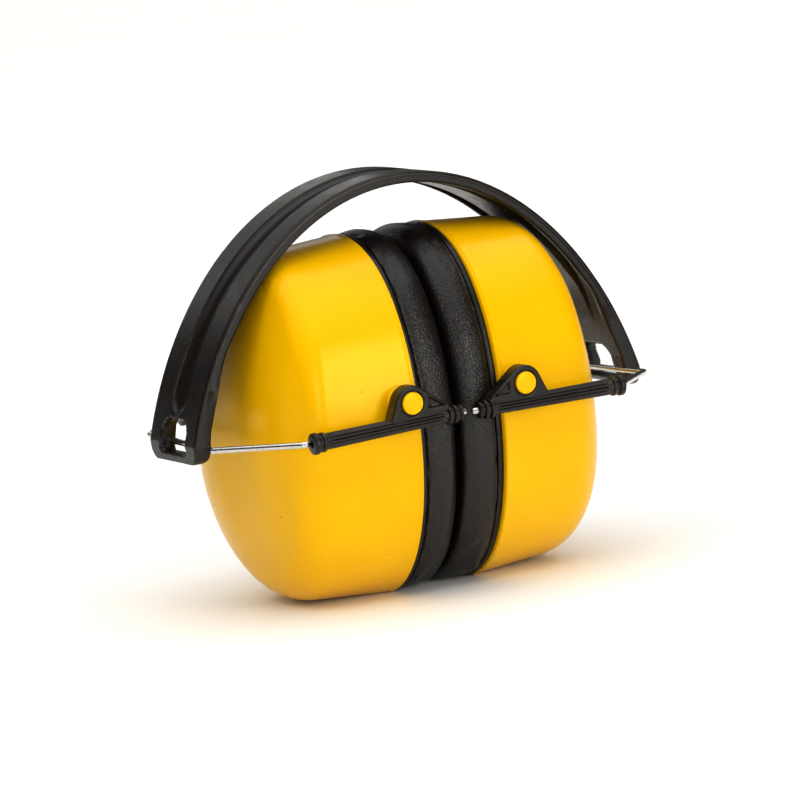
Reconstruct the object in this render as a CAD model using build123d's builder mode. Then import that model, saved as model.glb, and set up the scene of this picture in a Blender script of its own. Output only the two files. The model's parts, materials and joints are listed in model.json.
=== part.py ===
"""Folding ear defenders, drawn folded: both cups face each other inside the headband.

Frame: X runs from the left cup to the right cup, Y from front to rear, Z up.
The origin is on the ground, midway between the two cups. Sizes are in millimetres.
"""

import os

from build123d import *

# Cup: an oval bowl whose mouth faces the other cup
CUP_HALF_WIDTH = 37.5
CUP_HALF_HEIGHT = 50.0
CUP_END_RADIUS = 34.0  # radius of the oval's top and bottom arcs
CUP_MOUTH_X = 12.7  # from the middle plane to the cup's mouth
CUP_FACE_X = 52.3  # from the middle plane to the crown of the outer face
CUP_DRAFT = 4.5  # degrees
CUP_SHOULDER = 11.0
CUP_WALL = 2.2
FOOT_TRIM = 0.8  # taken off the lowest point, so that the cup stands on a flat
CROWN_ROLL_RADIUS = 112.0  # outer face, seen from the front
CROWN_SPREAD_RADIUS = 75.0  # outer face, seen from above
CROWN_DROP = 4.0  # the crown sits this far below the cup's middle
CUP_Z = CUP_HALF_HEIGHT - FOOT_TRIM

# Seat ring and cushion at the cup's mouth
RING_THICKNESS = 1.7
RING_INSET = 0.3
RING_OPENING = (21.0, 32.0)
SPIGOT_INSET = 3.7
SPIGOT_WALL = 1.4
SPIGOT_DEPTH = 3.0
CUSHION_GAP = 0.8  # from the middle plane to the cushion's face
CUSHION_INSET = 0.4
CUSHION_LIFT = 0.2  # from the ground to the cushion's lowest point
CUSHION_OPENING = (18.0, 29.0)
CUSHION_OUTER_ROUND = 7.0
CUSHION_INNER_ROUND = 4.5
CUSHION_SKIN = 0.8

# Acoustic foam that fills the outer part of the bowl
INSERT_MOUTH_X = 23.0
INSERT_INSET = 2.5
INSERT_DISH = (24.0, 34.0, 7.0)  # half width, half height and depth

# Headband: a half ellipse with a channel along its outside
BAND_RADII = (74.2, 99.1)
BAND_Z = 16.1
BAND_THICKNESS = 3.2
BAND_HALF_WIDTH = 14.6
BAND_BOTTOM_Z = 45.2
CHANNEL_DEPTH = 1.7
CHANNEL_HALF_WIDTH = 5.0
CHANNEL_END_Z = 58.0
RECESS_WALL = 1.5
RECESS_SPAN = (6.7, 12.8)  # in Y, to each side of the channel
END_INNER_X = (65.3, 63.9, 57.8)  # inner face of the end block, at its bottom, middle and top
END_MIDDLE_Z = 54.0
END_TOP_Z = 72.0
END_ROUND = 2.6
WINDOW = (13.4, 9.0, 52.1)  # width, height and middle height of the hole in each end
WINDOW_ROUND = 2.2
DIMPLE = (64.9, 59.0, 0.9, 1.2)  # x, z, radius and depth

# Wire fork: hinged in the band's end, with a leg to each side of the cup
WIRE_RADIUS = 0.9
HINGE_X = 67.0
FORK_Z = 51.0
FORK_CORNERS_Y = (17.3, 24.6)  # at the front and the rear: the band sits off the fork's middle
LEG_CORNER_X = 50.3
LEG_Y = 41.9
WIRE_TIP_X = 1.3
WIRE_BEND = 4.0
WIRE_HOLE_RADIUS = 0.97

# Arm: a ribbed sleeve that slides on the fork's leg, with an eye for the cup's pivot
ARM_INNER_X = 2.4
ARM_LENGTH = 45.4
ARM_RADIUS = 2.4
ARM_BORE_RADIUS = 0.96
FLUTES = 14
FLUTE_RADIUS = 0.28
OUTER_COLLARS = ((0.0, 1.7, 3.05), (2.4, 1.1, 2.8))  # start, width and radius
INNER_COLLARS = ((0.0, 1.0, 2.75), (1.7, 1.1, 3.05), (3.5, 1.1, 3.05))
PIVOT_X = 17.4
PIVOT_Z = 56.4
EYE_RADIUS = 4.7
EYE_SPAN = (38.7, 43.4)  # in Y
EYE_INNER_FOOT = (6.0, 1.9, 0.5)  # x, height above the sleeve's axis and radius
EYE_OUTER_FOOT = (24.2, 1.6, 0.8)
EYE_POCKET = (9.6, 4.1, 0.55, 0.8)  # x, reach in x, corner radius and depth

# Pivot stud: pressed into the cup, turning in the eye
STUD_JOURNAL = 2.4
STUD_HEAD = 3.05
STUD_SHANK = 1.9
STUD_TIP_Y = 34.4
STUD_FACE_Y = 43.9
HEAD_THICKNESS = 1.3
JOURNAL_CLEARANCE = 0.06
HEAD_CLEARANCE = 0.3
PAD_RADIUS = 4.0
PAD_FACE_Y = 38.4
PAD_ROOT_Y = 34.4

SIDES = {"left": -1, "right": 1}
FACES = {"front": -1, "rear": 1}


def oval(half_width, half_height, end_radius):
    """Draws a closed oval of four tangent arcs in the current sketch."""
    rise = half_height - end_radius
    side_radius = (half_width**2 + rise**2 - end_radius**2) / (2 * (half_width - end_radius))
    run = side_radius - half_width
    share = end_radius / (side_radius - end_radius)
    corner_x = run * share
    corner_y = rise * (1 + share)
    with BuildLine() as outline:
        ThreePointArc((-corner_x, corner_y), (0, half_height), (corner_x, corner_y))
        ThreePointArc((corner_x, corner_y), (half_width, 0), (corner_x, -corner_y))
        ThreePointArc((corner_x, -corner_y), (0, -half_height), (-corner_x, -corner_y))
        ThreePointArc((-corner_x, -corner_y), (-half_width, 0), (-corner_x, corner_y))
    make_face(outline.edges())


def cup_outline(inset):
    """The cup's oval, made smaller by inset all round."""
    oval(CUP_HALF_WIDTH - inset, CUP_HALF_HEIGHT - inset, CUP_END_RADIUS - inset)


def opening_outline(half_width, half_height):
    """An ear opening, with the cup's own roundness."""
    oval(half_width, half_height, half_width * CUP_END_RADIUS / CUP_HALF_WIDTH)


def facing_out(x):
    """The plane across the left cup at this distance, with its normal away from the other cup."""
    return Plane(origin=(-x, 0, CUP_Z), x_dir=(0, -1, 0), z_dir=(-1, 0, 0))


def crown_barrel(inset):
    """A barrel whose flank is the crowned outer face of the left cup."""
    axis_x = CROWN_ROLL_RADIUS - CUP_FACE_X
    reach = CUP_HALF_HEIGHT
    rim = CROWN_ROLL_RADIUS - inset
    drop = reach**2 / (2 * CROWN_SPREAD_RADIUS)
    with BuildPart() as barrel:
        with BuildSketch(Plane.XY.offset(CUP_Z - CROWN_DROP)):
            with BuildLine():
                ThreePointArc(
                    (axis_x - rim + drop, -reach), (axis_x - rim, 0), (axis_x - rim + drop, reach)
                )
                Line((axis_x - rim + drop, reach), (axis_x, reach))
                Line((axis_x, reach), (axis_x, -reach))
                Line((axis_x, -reach), (axis_x - rim + drop, -reach))
            make_face()
        revolve(axis=Axis((axis_x, 0, CUP_Z - CROWN_DROP), (0, 1, 0)))
    return barrel.part


def bowl(inset, mouth_x):
    """The left cup's outer form from mouth_x outward, made smaller by inset all round."""
    with BuildPart() as form:
        with BuildSketch(facing_out(CUP_MOUTH_X)):
            cup_outline(inset)
        extrude(amount=CUP_FACE_X, taper=CUP_DRAFT)
        add(crown_barrel(inset), mode=Mode.INTERSECT)
        fillet(form.faces().sort_by(Axis.X)[0].edges(), CUP_SHOULDER - inset)
        if mouth_x > CUP_MOUTH_X:
            split(bisect_by=facing_out(mouth_x), keep=Keep.TOP)
    return form.part


def cylinder_along_y(x, z, radius, y_from, y_to):
    """Adds a round bar parallel to Y to the current part."""
    with BuildSketch(Plane.XZ.offset(-y_from)) as end:
        with Locations((x, z)):
            Circle(radius)
    extrude(end.sketch, amount=y_from - y_to)


def make_shell():
    outer = bowl(0, CUP_MOUTH_X)
    cavity = bowl(CUP_WALL, CUP_MOUTH_X)
    with BuildPart() as shell:
        add(outer)
        split(bisect_by=Plane.XY, keep=Keep.TOP)
        add(cavity, mode=Mode.SUBTRACT)
        for face in FACES.values():
            cylinder_along_y(-PIVOT_X, PIVOT_Z, PAD_RADIUS, face * PAD_ROOT_Y, face * PAD_FACE_Y)
        with BuildSketch(Plane.XZ):
            with Locations((-PIVOT_X, PIVOT_Z)):
                Circle(STUD_SHANK)
        extrude(amount=LEG_Y, both=True, mode=Mode.SUBTRACT)
    return shell.part


def make_insert():
    dish_width, dish_height, dish_depth = INSERT_DISH
    with BuildPart() as insert:
        add(bowl(INSERT_INSET, INSERT_MOUTH_X))
        with BuildSketch(facing_out(INSERT_MOUTH_X)):
            opening_outline(dish_width, dish_height)
        extrude(amount=dish_depth, taper=20, mode=Mode.SUBTRACT)
    return insert.part


def make_seat_ring():
    with BuildPart() as ring:
        with BuildSketch(facing_out(CUP_MOUTH_X - RING_THICKNESS)):
            cup_outline(RING_INSET)
        extrude(amount=RING_THICKNESS)
        with BuildSketch(facing_out(CUP_MOUTH_X)):
            cup_outline(SPIGOT_INSET)
        extrude(amount=SPIGOT_DEPTH)
        with BuildSketch(facing_out(CUP_MOUTH_X)):
            cup_outline(SPIGOT_INSET + SPIGOT_WALL)
        extrude(amount=SPIGOT_DEPTH, mode=Mode.SUBTRACT)
        with BuildSketch(facing_out(0)):
            opening_outline(*RING_OPENING)
        extrude(amount=CUP_MOUTH_X, mode=Mode.SUBTRACT)
        split(bisect_by=Plane.XY.offset(RING_INSET), keep=Keep.TOP)
    return ring.part


def cushion_form(inset):
    """The ring cushion's form, made smaller by inset except at its back."""
    face_x = CUSHION_GAP + inset
    opening_width, opening_height = CUSHION_OPENING
    with BuildPart() as form:
        with BuildSketch(facing_out(face_x)):
            cup_outline(CUSHION_INSET + inset)
        extrude(amount=CUP_MOUTH_X - RING_THICKNESS - face_x)
        front = form.faces().sort_by(Axis.X)[-1]
        fillet(front.edges(), CUSHION_OUTER_ROUND - inset)
        with BuildSketch(facing_out(face_x)):
            opening_outline(opening_width + inset, opening_height + inset)
        extrude(amount=CUP_MOUTH_X, mode=Mode.SUBTRACT)
        front = form.faces().sort_by(Axis.X)[-1]
        fillet(front.inner_wires().edges(), CUSHION_INNER_ROUND - inset)
        split(bisect_by=Plane.XY.offset(CUSHION_LIFT + inset), keep=Keep.TOP)
    return form.part


def make_cushion_cover():
    with BuildPart() as cover:
        add(cushion_form(0))
        add(cushion_form(CUSHION_SKIN), mode=Mode.SUBTRACT)
    return cover.part


def make_fork():
    """The left fork: one bent wire, from leg tip to leg tip through the band's end."""
    tip_x = -WIRE_TIP_X
    front_y, rear_y = FORK_CORNERS_Y
    with BuildPart() as fork:
        with BuildLine(Plane.XY.offset(FORK_Z)) as path:
            FilletPolyline(
                (tip_x, -LEG_Y),
                (-LEG_CORNER_X, -LEG_Y),
                (-HINGE_X, -front_y),
                (-HINGE_X, rear_y),
                (-LEG_CORNER_X, LEG_Y),
                (tip_x, LEG_Y),
                radius=WIRE_BEND,
            )
        with BuildSketch(Plane(origin=(tip_x, -LEG_Y, FORK_Z), z_dir=(-1, 0, 0))):
            Circle(WIRE_RADIUS)
        sweep(path=path.line)
    return fork.part


def ring_on_sleeve(start_x, width, radius):
    """Adds a collar to the left front sleeve, from start_x outward."""
    with BuildSketch(Plane.YZ.offset(-start_x)) as end:
        with Locations((-LEG_Y, FORK_Z)):
            Circle(radius)
    extrude(end.sketch, amount=-width)


def make_arm():
    """The left front arm."""
    outer_x = ARM_INNER_X + ARM_LENGTH
    eye_inner, eye_outer = EYE_SPAN
    pocket_x, pocket_reach, pocket_round, pocket_depth = EYE_POCKET
    with BuildPart() as arm:
        with BuildSketch(Plane.YZ.offset(-ARM_INNER_X)):
            with Locations((-LEG_Y, FORK_Z)):
                Circle(ARM_RADIUS)
                with PolarLocations(ARM_RADIUS + FLUTE_RADIUS / 2, FLUTES):
                    Circle(FLUTE_RADIUS, mode=Mode.SUBTRACT)
        extrude(amount=-ARM_LENGTH)
        for start, width, radius in OUTER_COLLARS:
            ring_on_sleeve(outer_x - start - width, width, radius)
        for start, width, radius in INNER_COLLARS:
            ring_on_sleeve(ARM_INNER_X + start, width, radius)
        with BuildSketch(Plane.XZ.offset(eye_inner)):
            with Locations((-PIVOT_X, PIVOT_Z)):
                Circle(EYE_RADIUS)
            for foot_x, foot_rise, foot_radius in (EYE_INNER_FOOT, EYE_OUTER_FOOT):
                with Locations((-foot_x, FORK_Z + foot_rise)):
                    Circle(foot_radius)
            make_hull()
        extrude(amount=eye_outer - eye_inner)
        with BuildSketch(Plane.XZ.offset(eye_outer - pocket_depth)):
            pocket_z = FORK_Z + ARM_RADIUS + pocket_round
            for corner in (
                (-pocket_x + pocket_reach / 2, pocket_z),
                (-pocket_x - pocket_reach / 2, pocket_z),
                (-pocket_x - pocket_reach / 2, pocket_z + pocket_reach / 2),
            ):
                with Locations(corner):
                    Circle(pocket_round)
            make_hull()
        extrude(amount=pocket_depth, mode=Mode.SUBTRACT)
        with BuildSketch(Plane.XZ.offset(eye_inner)):
            with Locations((-PIVOT_X, PIVOT_Z)):
                Circle(STUD_JOURNAL + JOURNAL_CLEARANCE)
        extrude(amount=eye_outer - eye_inner, mode=Mode.SUBTRACT)
        with BuildSketch(Plane.XZ.offset(STUD_FACE_Y - HEAD_THICKNESS - JOURNAL_CLEARANCE)):
            with Locations((-PIVOT_X, PIVOT_Z)):
                Circle(STUD_HEAD + HEAD_CLEARANCE)
        extrude(amount=HEAD_THICKNESS, mode=Mode.SUBTRACT)
        with BuildSketch(Plane.YZ):
            with Locations((-LEG_Y, FORK_Z)):
                Circle(ARM_BORE_RADIUS)
        extrude(amount=-outer_x, mode=Mode.SUBTRACT)
    return arm.part


def make_stud():
    """The left front stud."""
    head_y = STUD_FACE_Y - HEAD_THICKNESS
    with BuildPart() as stud:
        cylinder_along_y(-PIVOT_X, PIVOT_Z, STUD_SHANK, -STUD_TIP_Y, -PAD_FACE_Y)
        cylinder_along_y(-PIVOT_X, PIVOT_Z, STUD_JOURNAL, -PAD_FACE_Y, -head_y)
        cylinder_along_y(-PIVOT_X, PIVOT_Z, STUD_HEAD, -head_y, -STUD_FACE_Y)
        fillet(stud.faces().sort_by(Axis.Y)[0].edges(), 0.35)
    return stud.part


def elliptic_ring(outer_offset, inner_offset):
    """A sketch of the band's ellipse, between two depths below its outer surface."""
    with BuildSketch(Plane.XZ) as ring:
        with Locations((0, BAND_Z)):
            Ellipse(BAND_RADII[0] - outer_offset, BAND_RADII[1] - outer_offset)
            Ellipse(
                BAND_RADII[0] - inner_offset, BAND_RADII[1] - inner_offset, mode=Mode.SUBTRACT
            )
    return ring.sketch


def make_channel():
    """The long channel along the band's outside, round at both ends."""
    top_z = BAND_Z + BAND_RADII[1]
    end_z = CHANNEL_END_Z + CHANNEL_HALF_WIDTH
    with BuildPart() as channel:
        extrude(
            elliptic_ring(-CHANNEL_DEPTH, CHANNEL_DEPTH), amount=CHANNEL_HALF_WIDTH, both=True
        )
        with BuildSketch(Plane.YZ.offset(-2 * BAND_RADII[0])):
            with Locations((0, (end_z + top_z) / 2)):
                Rectangle(2 * CHANNEL_HALF_WIDTH, top_z - end_z + 2 * CHANNEL_DEPTH)
            with Locations((0, end_z)):
                Circle(CHANNEL_HALF_WIDTH)
        extrude(amount=4 * BAND_RADII[0], mode=Mode.INTERSECT)
    return channel.part


def make_recess():
    """The rear one of the two recesses along the band's inside."""
    near, far = RECESS_SPAN
    with BuildPart() as recess:
        extrude(elliptic_ring(RECESS_WALL, 2 * BAND_THICKNESS), amount=-far)
        with BuildSketch(Plane.XY.offset(END_TOP_Z + CHANNEL_HALF_WIDTH)):
            with Locations((0, (near + far) / 2)):
                Rectangle(2 * BAND_RADII[0], far - near)
        extrude(amount=BAND_RADII[1], mode=Mode.INTERSECT)
    return recess.part


def half_band_profile():
    """The right half of the band from the front: the arch, and a thicker block at its end."""
    bottom_x, middle_x, top_x = END_INNER_X
    top_z = BAND_Z + BAND_RADII[1]
    with BuildSketch(Plane.XZ) as end:
        with BuildLine():
            Polyline(
                (BAND_RADII[0], BAND_BOTTOM_Z),
                (bottom_x, BAND_BOTTOM_Z),
                (middle_x, END_MIDDLE_Z),
                (top_x, END_TOP_Z),
                (BAND_RADII[0], END_TOP_Z),
                close=True,
            )
        make_face()
        with Locations((0, BAND_Z)):
            Ellipse(*BAND_RADII, mode=Mode.INTERSECT)
    with BuildSketch(Plane.XZ) as profile:
        add(elliptic_ring(0, BAND_THICKNESS))
        with Locations((BAND_RADII[0] / 2, (BAND_BOTTOM_Z + top_z) / 2)):
            Rectangle(BAND_RADII[0], top_z - BAND_BOTTOM_Z, mode=Mode.INTERSECT)
        add(end.sketch)
    return profile.sketch


def make_headband():
    window_width, window_height, window_z = WINDOW
    dimple_x, dimple_z, dimple_radius, dimple_depth = DIMPLE
    profile = half_band_profile()
    channel = make_channel()
    recess = make_recess()
    with BuildPart() as band:
        extrude(profile, amount=BAND_HALF_WIDTH, both=True)
        bottom = band.faces().filter_by(Axis.Z).sort_by(Axis.Z)[0]
        fillet(bottom.edges().filter_by(Axis.Y), END_ROUND)
        add(channel, mode=Mode.SUBTRACT)
        add(recess, mode=Mode.SUBTRACT)
        add(mirror(recess, about=Plane.XZ, mode=Mode.PRIVATE), mode=Mode.SUBTRACT)
        with BuildSketch(Plane.YZ):
            with Locations((0, window_z)):
                RectangleRounded(window_width, window_height, WINDOW_ROUND)
        extrude(amount=BAND_RADII[0], mode=Mode.SUBTRACT)
        with BuildSketch(Plane.XZ):
            with Locations((HINGE_X, FORK_Z)):
                Circle(WIRE_HOLE_RADIUS)
        extrude(amount=BAND_HALF_WIDTH, both=True, mode=Mode.SUBTRACT)
        for face in FACES.values():
            with BuildSketch(Plane.XZ.offset(face * BAND_HALF_WIDTH)):
                with Locations((dimple_x, dimple_z)):
                    Circle(dimple_radius)
            extrude(amount=-face * dimple_depth, mode=Mode.SUBTRACT)
        mirror(about=Plane.YZ)
    return band.part


def write(name, part):
    part.label = name
    export_step(part, f"parts/{name}.step")


def on_side(part, side):
    """A left piece, or its mirror image on the right."""
    return part if SIDES[side] < 0 else mirror(part, about=Plane.YZ)


def turned_to(part, side):
    """A left piece, or the same piece turned half round for the right."""
    return part if SIDES[side] < 0 else part.rotate(Axis.Z, 180)


def on_face(part, face):
    """A front piece, or its mirror image at the rear."""
    return part if FACES[face] < 0 else mirror(part, about=Plane.XZ)


def main():
    os.makedirs("parts", exist_ok=True)
    write("headband", make_headband())
    one_per_side = {
        "cup_shell": make_shell(),
        "acoustic_foam": make_insert(),
        "seat_ring": make_seat_ring(),
        "cushion_cover": make_cushion_cover(),
        "cushion_foam": cushion_form(CUSHION_SKIN),
    }
    fork = make_fork()
    one_per_face = {"arm": make_arm(), "pivot_stud": make_stud()}
    for side in SIDES:
        write(f"{side}_wire_fork", turned_to(fork, side))
        for piece, part in one_per_side.items():
            write(f"{side}_{piece}", on_side(part, side))
        for face in FACES:
            for piece, part in one_per_face.items():
                write(f"{side}_{face}_{piece}", on_side(on_face(part, face), side))


main()
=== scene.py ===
"""Folding ear defenders, shut: the looks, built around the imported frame.

Lengths are in millimetres until mesh_object() turns them into metres, and the lights are placed in metres.
Most pieces are drawn once, for the right side and the front, and mirrored for the others.
"""

import json
import math

import bmesh
import bpy
import numpy as np
from mathutils import Matrix, Vector, noise


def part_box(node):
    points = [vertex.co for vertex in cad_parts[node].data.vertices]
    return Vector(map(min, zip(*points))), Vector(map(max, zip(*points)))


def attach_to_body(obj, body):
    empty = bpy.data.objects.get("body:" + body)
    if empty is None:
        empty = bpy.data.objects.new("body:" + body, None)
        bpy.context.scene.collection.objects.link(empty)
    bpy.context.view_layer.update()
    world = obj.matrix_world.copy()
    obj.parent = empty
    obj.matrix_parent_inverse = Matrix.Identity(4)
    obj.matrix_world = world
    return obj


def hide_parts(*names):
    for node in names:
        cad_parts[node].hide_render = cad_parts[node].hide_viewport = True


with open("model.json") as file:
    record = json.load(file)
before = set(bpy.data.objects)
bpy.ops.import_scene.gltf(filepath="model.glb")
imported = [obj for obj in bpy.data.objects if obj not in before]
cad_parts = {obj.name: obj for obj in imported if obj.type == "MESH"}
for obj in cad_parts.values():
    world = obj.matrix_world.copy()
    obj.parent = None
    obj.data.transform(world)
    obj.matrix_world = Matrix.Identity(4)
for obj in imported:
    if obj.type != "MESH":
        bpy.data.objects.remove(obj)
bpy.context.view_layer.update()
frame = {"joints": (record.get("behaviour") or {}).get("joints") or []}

MM = 0.001
SIDES = {"left": -1, "right": 1}
FACES = {"front": 1, "rear": -1}  # factors of Y for a piece that is drawn at the front
JOINTS = {joint["name"]: joint for joint in frame["joints"]}

# Places, from the frame
HINGE_X, _, HINGE_Z = [v / MM for v in JOINTS["right_fold"]["pos_m"]]
PIVOT_X, _, PIVOT_Z = [v / MM for v in JOINTS["right_cup_pivot"]["pos_m"]]
CUP_LOW, CUP_HIGH = [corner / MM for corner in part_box("right_cup_shell")]
CUP_HALF_HEIGHT = 50.0
CUP_Z = CUP_HIGH.z - CUP_HALF_HEIGHT
CUP_MOUTH = CUP_LOW.x
CUP_FACE = CUP_HIGH.x
BAND_HALF_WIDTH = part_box("headband")[1].y / MM
BAND_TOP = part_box("headband")[1].z / MM
BAND_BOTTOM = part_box("headband")[0].z / MM
ARM_LOW, ARM_HIGH = [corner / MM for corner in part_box("right_front_arm")]
WIRE_LOW, WIRE_HIGH = [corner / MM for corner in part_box("right_wire_fork")]
WIRE_RADIUS = (WIRE_HIGH.z - WIRE_LOW.z) / 2
LEG_Y = WIRE_HIGH.y - WIRE_RADIUS

# Cup: a drafted wall and a crown curved both ways, joined by a rounded shoulder
CUP_MOUTH_SIZE = (37.5, CUP_HALF_HEIGHT)  # half width and half height
CUP_ROUNDNESS = 2.17  # exponent of the mouth's superellipse
CUP_DRAFT = math.radians(4.5)
CUP_SHOULDER = 11.0
SHOULDER_CHANGE = 2.0  # tighter at the top by this much, and rounder at the bottom
SHOULDER_CREASE = 5.0  # tighter again by this much at the upper front and rear
CROWN_RADII = (75.0, 112.0)  # seen from above and from the front
CROWN_DROP = 4.0
CUP_WALL = 2.2
REAR_FULLNESS = 4.0  # the outer face bulges this much more behind and below its middle
FRONT_FALL = 2.5  # the outer face falls away by this much towards its front edge
RIM_BEAD = 0.30
CUP_POINTS = 192
PAD_FACE_Y = 38.4  # the flat that the arm's eye turns against

# Foam in the bowl
FOAM_GAP = 0.5  # from the shell's inner wall
FOAM_MOUTH = 23.0
FOAM_COLLAR = 5.0  # its rim stands this much nearer to the cup's mouth
FOAM_FACE = (33.12, 43.86)  # half width and half height
FOAM_DISH_DEPTH = 7.0

# Cushion and the ring that it is welded to
CUSHION_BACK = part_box("right_seat_ring")[0].x / MM
CUSHION_OPENING = (18.0, 29.0)
CUSHION_OUTER = (35.9, 50.3)
CUSHION_FACE = 0.6  # from the middle plane
CUSHION_REACH = 0.9  # the most that the simulation may move a point
CUSHION_POINTS = 200
SIMULATED_FRAMES = 20
PILLOW_MIDDLE = (0.0010, 0.0018)  # squared half sizes of the line along the pillow's middle, in metres
RING_OPENING = (21.0, 32.0)
GROUND_GAP = 0.15

# Slider arms: how far the outer end hangs, at the right front and the right rear; the left is turned about
FRONT_DROOP = 0.15
REAR_DROOP = 0.8

# Headband
BAND_RADII = (74.2, 99.1)  # half axes of the outer surface's ellipse
BAND_THICKNESS = 3.2
BAND_CORNER = 4.0  # the lower corners' radius
BAND_FOOT = 2.4  # the lower edge's radius
CHANNEL_DEPTH = 1.7
CHANNEL_HALF_WIDTH = 5.0
CHANNEL_END_Z = 63.0
END_STEP_Z = 50.4  # below this the outer surface slopes inwards
END_STEP_SLOPE = 0.30
BLOCK_HEIGHTS = (BAND_BOTTOM, 54.0, 72.0, 90.0)
BLOCK_INNER_X = (65.3, 63.9, 57.8, 51.6)  # the end block's inner face at those heights
BLOCK_FADE = (64.0, 18.0)  # where the block starts to turn into the arch, and over what height
RECESS_DEPTH = 1.3
RECESS_SPAN = (6.7, 12.9)  # in Y, on the inner surface, to each side of the middle
RECESS_FADE = (62.0, 24.0)
SIDE_STEP = 0.30
SIDE_STEP_FADE = (59.0, 12.0)
WINDOW_Z = 52.1
WINDOW_HALF_HEIGHT = 4.6
WINDOW_HALF_WIDTH = 7.7  # at WINDOW_WIDTH_Z, and less above it
WINDOW_WIDTH_Z = 52.0
WINDOW_TAPER = 0.09
WINDOW_CORNERS = (3.4, 1.6)  # radii above and below WINDOW_Z


# ---------------------------------------------------------------- mesh helpers


def smoothstep(value):
    value = np.clip(value, 0.0, 1.0)
    return value * value * (3 - 2 * value)


def round_edge(distance, radius):
    """How far a rounded edge falls away, at a distance from the edge."""
    inner = np.clip(radius - distance, 0.0, radius)
    return radius - np.sqrt(radius**2 - inner**2)


def spline(points, per_span):
    """Points along a Catmull-Rom curve through the given points."""
    p = np.array(points, float)
    p = np.vstack([2 * p[0] - p[1], p, 2 * p[-1] - p[-2]])
    rows = []
    for i in range(1, len(p) - 2):
        for k in range(per_span):
            t = k / per_span
            a, b, c, d = p[i - 1], p[i], p[i + 1], p[i + 2]
            square, cube = 2 * a - 5 * b + 4 * c - d, 3 * b - a - 3 * c + d
            rows.append(0.5 * (2 * b + (c - a) * t + square * t**2 + cube * t**3))
    rows.append(p[-2])
    return np.array(rows)


def mesh_object(name, points, faces, material, mirror=(1, 1), sharp=40):
    """A smooth-shaded object from points in millimetres, mirrored in X and Y as asked."""
    scale = np.array([mirror[0], mirror[1], 1.0]) * MM
    mesh = bpy.data.meshes.new(name)
    mesh.from_pydata((np.array(points, float) * scale).tolist(), [], faces)
    obj = bpy.data.objects.new(name, mesh)
    bpy.context.scene.collection.objects.link(obj)
    mesh.materials.append(material)
    finish_mesh(obj, sharp)
    return obj


def finish_mesh(obj, sharp):
    """Outward normals, smooth shading, and sharp edges over an angle."""
    bm = bmesh.new()
    bm.from_mesh(obj.data)
    bmesh.ops.recalc_face_normals(bm, faces=bm.faces)
    for face in bm.faces:
        face.smooth = True
    limit = math.radians(sharp)
    for edge in bm.edges:
        edge.smooth = edge.calc_face_angle(0.0) < limit
    bm.to_mesh(obj.data)
    bm.free()


def loft(rings, closed_loop=False, start_cap=False, end_cap=False):
    """Points and quads through rings of equal length; each ring is closed on itself."""
    rings = np.array(rings, float)
    rows, columns = rings.shape[:2]
    points = rings.reshape(-1, 3).tolist()
    faces = []
    for row in range(rows if closed_loop else rows - 1):
        following = (row + 1) % rows
        for column in range(columns):
            beside = (column + 1) % columns
            near, far = row * columns, following * columns
            faces.append((near + column, near + beside, far + beside, far + column))
    for wanted, row in ((start_cap, 0), (end_cap, rows - 1)):
        if wanted:
            points.append(rings[row].mean(0).tolist())
            near, tip = row * columns, len(points) - 1
            for column in range(columns):
                faces.append((near + column, near + (column + 1) % columns, tip))
    return points, faces


def merge(*parts):
    """Joins several (points, faces) into one."""
    points, faces = [], []
    for part_points, part_faces in parts:
        start = len(points)
        points.extend(part_points)
        faces.extend(tuple(start + index for index in face) for face in part_faces)
    return points, faces


def rising(value, start, span):
    """0 up to start, 1 from start + span, and a smooth step between."""
    return smoothstep((value - start) / span)


def outline(count, half_width, half_height, roundness):
    """Superellipse in Y and Z, about the cup's middle."""
    angle = np.arange(count) * 2 * math.pi / count
    c, s = np.cos(angle), np.sin(angle)
    power = 2 / roundness
    y = half_width * np.sign(c) * np.abs(c) ** power
    z = half_height * np.sign(s) * np.abs(s) ** power
    return np.stack([y, z], 1)


def revolve(profile, axis_point, axis, count, radius_at=None):
    """Turns (distance along the axis, radius) pairs about a line; the profile closes on itself."""
    axis = Vector(axis).normalized()
    side = axis.orthogonal().normalized()
    other = axis.cross(side)
    angle = np.arange(count) * 2 * math.pi / count
    rings = []
    for along, radius in profile:
        r = radius if radius_at is None else radius_at(along, radius, angle)
        ring = (
            np.array(axis_point)
            + along * np.array(axis)
            + np.outer(np.cos(angle) * r, np.array(side))
            + np.outer(np.sin(angle) * r, np.array(other))
        )
        rings.append(ring)
    return loft(rings, closed_loop=True)


# ---------------------------------------------------------------- materials


def math_node(tree, operation, a, b):
    """A Math node in a node tree. Each of a and b is a number or another node's output."""
    node = tree.nodes.new("ShaderNodeMath")
    node.operation = operation
    for socket, value in zip(node.inputs, (a, b)):
        if isinstance(value, (int, float)):
            socket.default_value = value
        else:
            tree.links.new(value, socket)
    return node.outputs[0]


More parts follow.
